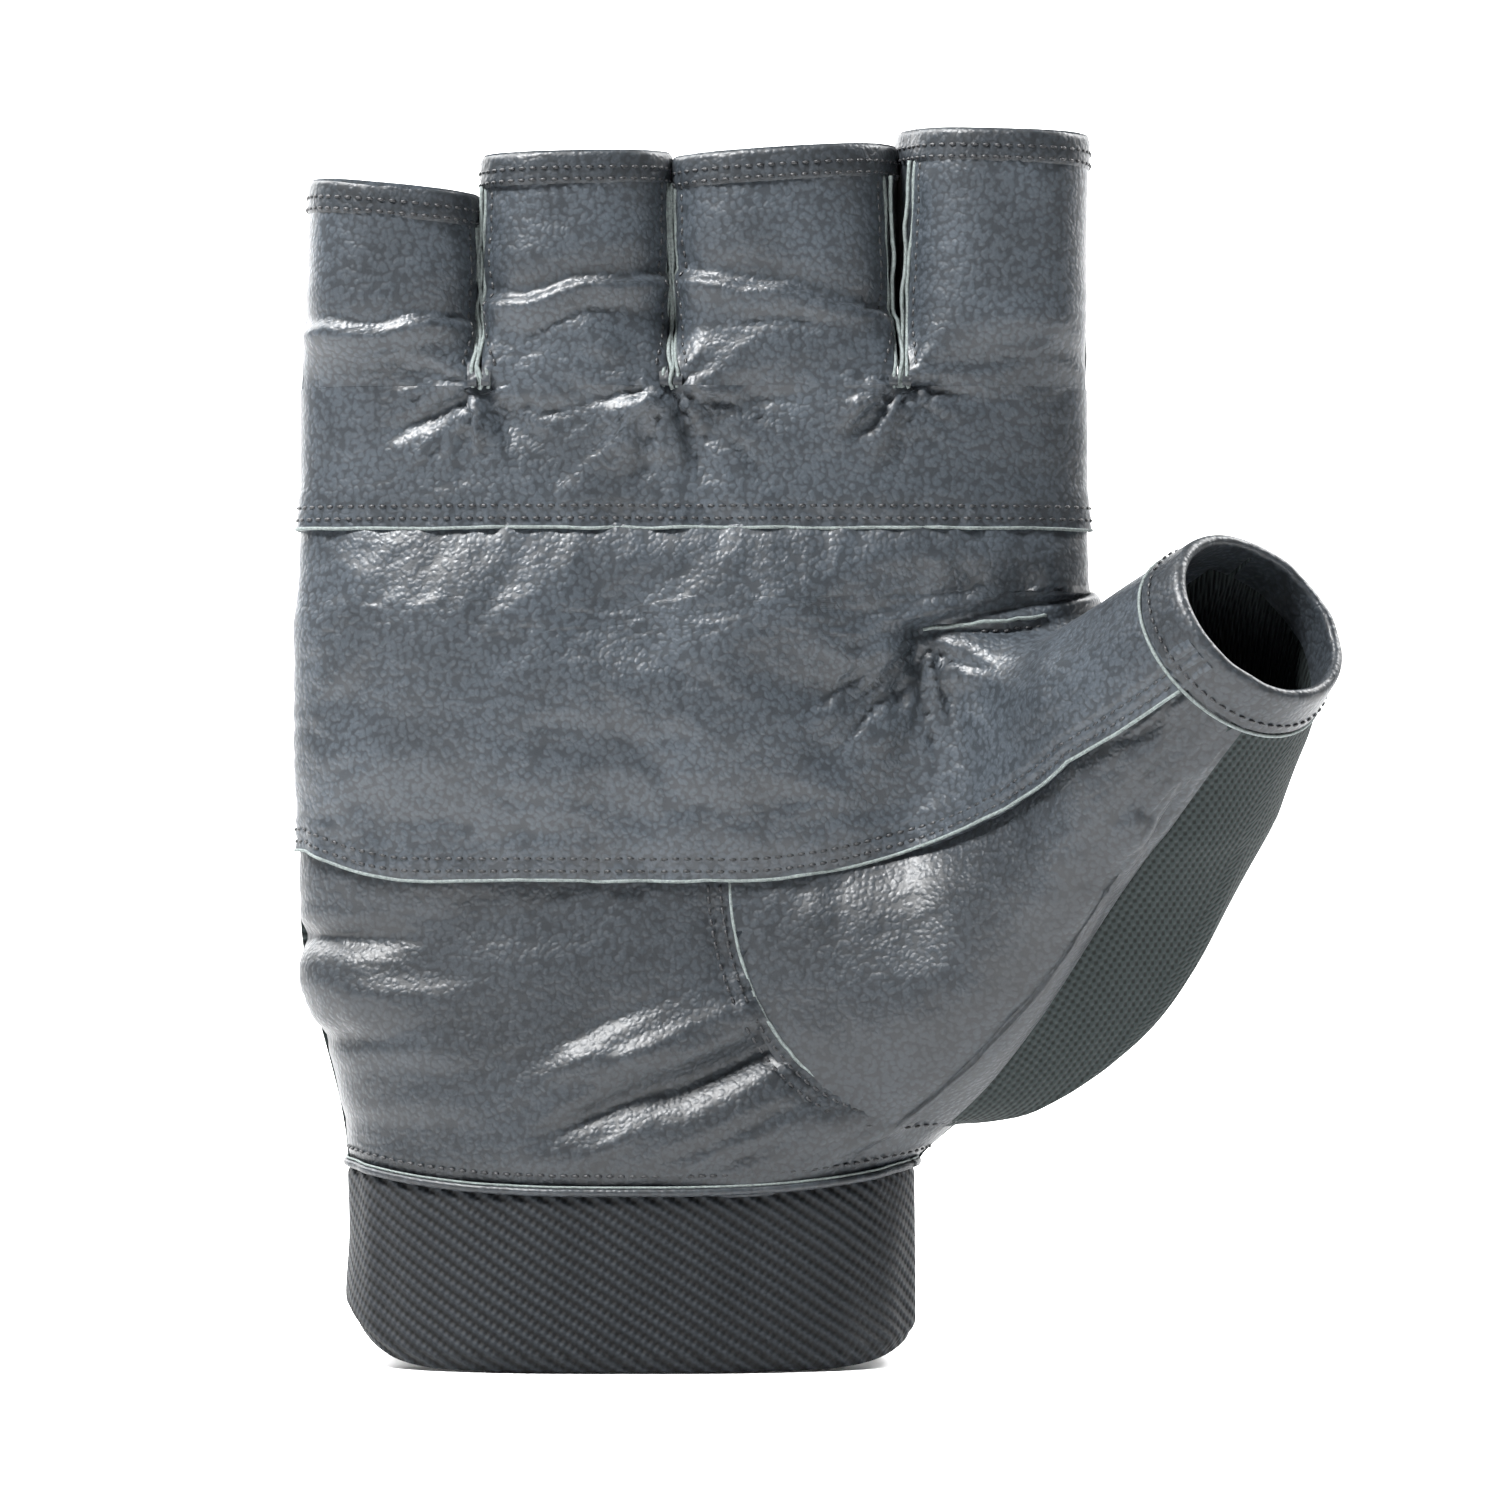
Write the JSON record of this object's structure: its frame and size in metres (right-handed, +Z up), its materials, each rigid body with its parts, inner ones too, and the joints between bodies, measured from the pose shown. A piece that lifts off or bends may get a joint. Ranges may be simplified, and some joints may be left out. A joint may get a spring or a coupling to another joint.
{
  "type": "fingerless glove",
  "caption": "Padded leather fingerless glove for the right hand, with open finger and thumb stalls, a stretch-knit back and an elastic cuff with a closure tab.",
  "frame": {"origin": "middle of the wrist opening, at the cuff's lower rim", "axes": "+Z up the hand towards the fingers, -Y out of the palm, +X towards the thumb"},
  "size_m": [0.1409, 0.0701, 0.168],
  "materials": {
    "leather": "pebbled slate-grey leather, semi-gloss",
    "dark_leather": "darker slate-grey leather, semi-gloss",
    "knit": "near-black stretch mesh, matte",
    "foam": "open-cell foam, matte",
    "webbing": "ribbed elastic twill, matte",
    "pile": "hook-and-loop pile, matte",
    "thread": "bonded sewing thread, satin"
  },
  "bodies": {
    "palm": {"palm_pad_cover": "leather", "upper_palm_panel": "leather", "heel_panel": "leather", "thenar_panel": "dark_leather", "back_panel": "knit", "thumb_gusset": "knit", "slit_binding": "dark_leather", "palm_foam": "foam", "palm_lining": "knit", "cuff_band": "webbing", "cuff_piping": "dark_leather", "loop_patch": "pile", "pinky_ring_web": "dark_leather", "ring_middle_web": "dark_leather", "middle_index_web": "dark_leather", "upper_seam_thread": "thread", "lower_seam_thread": "thread", "thenar_seam_thread": "thread", "cuff_seam_thread": "thread"},
    "tab": {"closure_tab": "webbing", "hook_patch": "pile"},
    "pinky": {"pinky_front": "leather", "pinky_back": "knit", "pinky_fourchette": "dark_leather", "pinky_hem": "dark_leather"},
    "ring": {"ring_front": "leather", "ring_back": "knit", "ring_fourchettes": "dark_leather", "ring_hem": "dark_leather"},
    "middle": {"middle_front": "leather", "middle_back": "knit", "middle_fourchettes": "dark_leather", "middle_hem": "dark_leather"},
    "index": {"index_front": "leather", "index_back": "knit", "index_fourchette": "dark_leather", "index_hem": "dark_leather"},
    "thumb": {"thumb_front": "leather", "thumb_side": "dark_leather", "thumb_back": "knit", "thumb_hem": "dark_leather"}
  },
  "joints": [
    {"name": "tab_hinge", "type": "hinge", "parent": "palm", "child": "tab", "pos_m": [0.018, 0.02029, 0.0127], "axis": [0, 0, -1], "range_deg": [0, 120]},
    {"name": "pinky_bend", "type": "hinge", "parent": "palm", "child": "pinky", "pos_m": [-0.033, -0.0145, 0.1332], "axis": [1, 0, 0], "range_deg": [0, 60], "stiffness_Nm_per_rad": 0.02},
    {"name": "ring_bend", "type": "hinge", "parent": "palm", "child": "ring", "pos_m": [-0.0075, -0.0145, 0.1332], "axis": [1, 0, 0], "range_deg": [0, 60], "stiffness_Nm_per_rad": 0.02},
    {"name": "middle_bend", "type": "hinge", "parent": "palm", "child": "middle", "pos_m": [0.021, -0.0145, 0.1332], "axis": [1, 0, 0], "range_deg": [0, 60], "stiffness_Nm_per_rad": 0.02},
    {"name": "index_bend", "type": "hinge", "parent": "palm", "child": "index", "pos_m": [0.0495, -0.0145, 0.1332], "axis": [1, 0, 0], "range_deg": [0, 60], "stiffness_Nm_per_rad": 0.02},
    {"name": "thumb_bend", "type": "hinge", "parent": "palm", "child": "thumb", "pos_m": [0.05554, -0.02271, 0.0973], "axis": [-0.2805, -0.751, -0.5978], "range_deg": [0, 25], "stiffness_Nm_per_rad": 0.02}
  ]
}
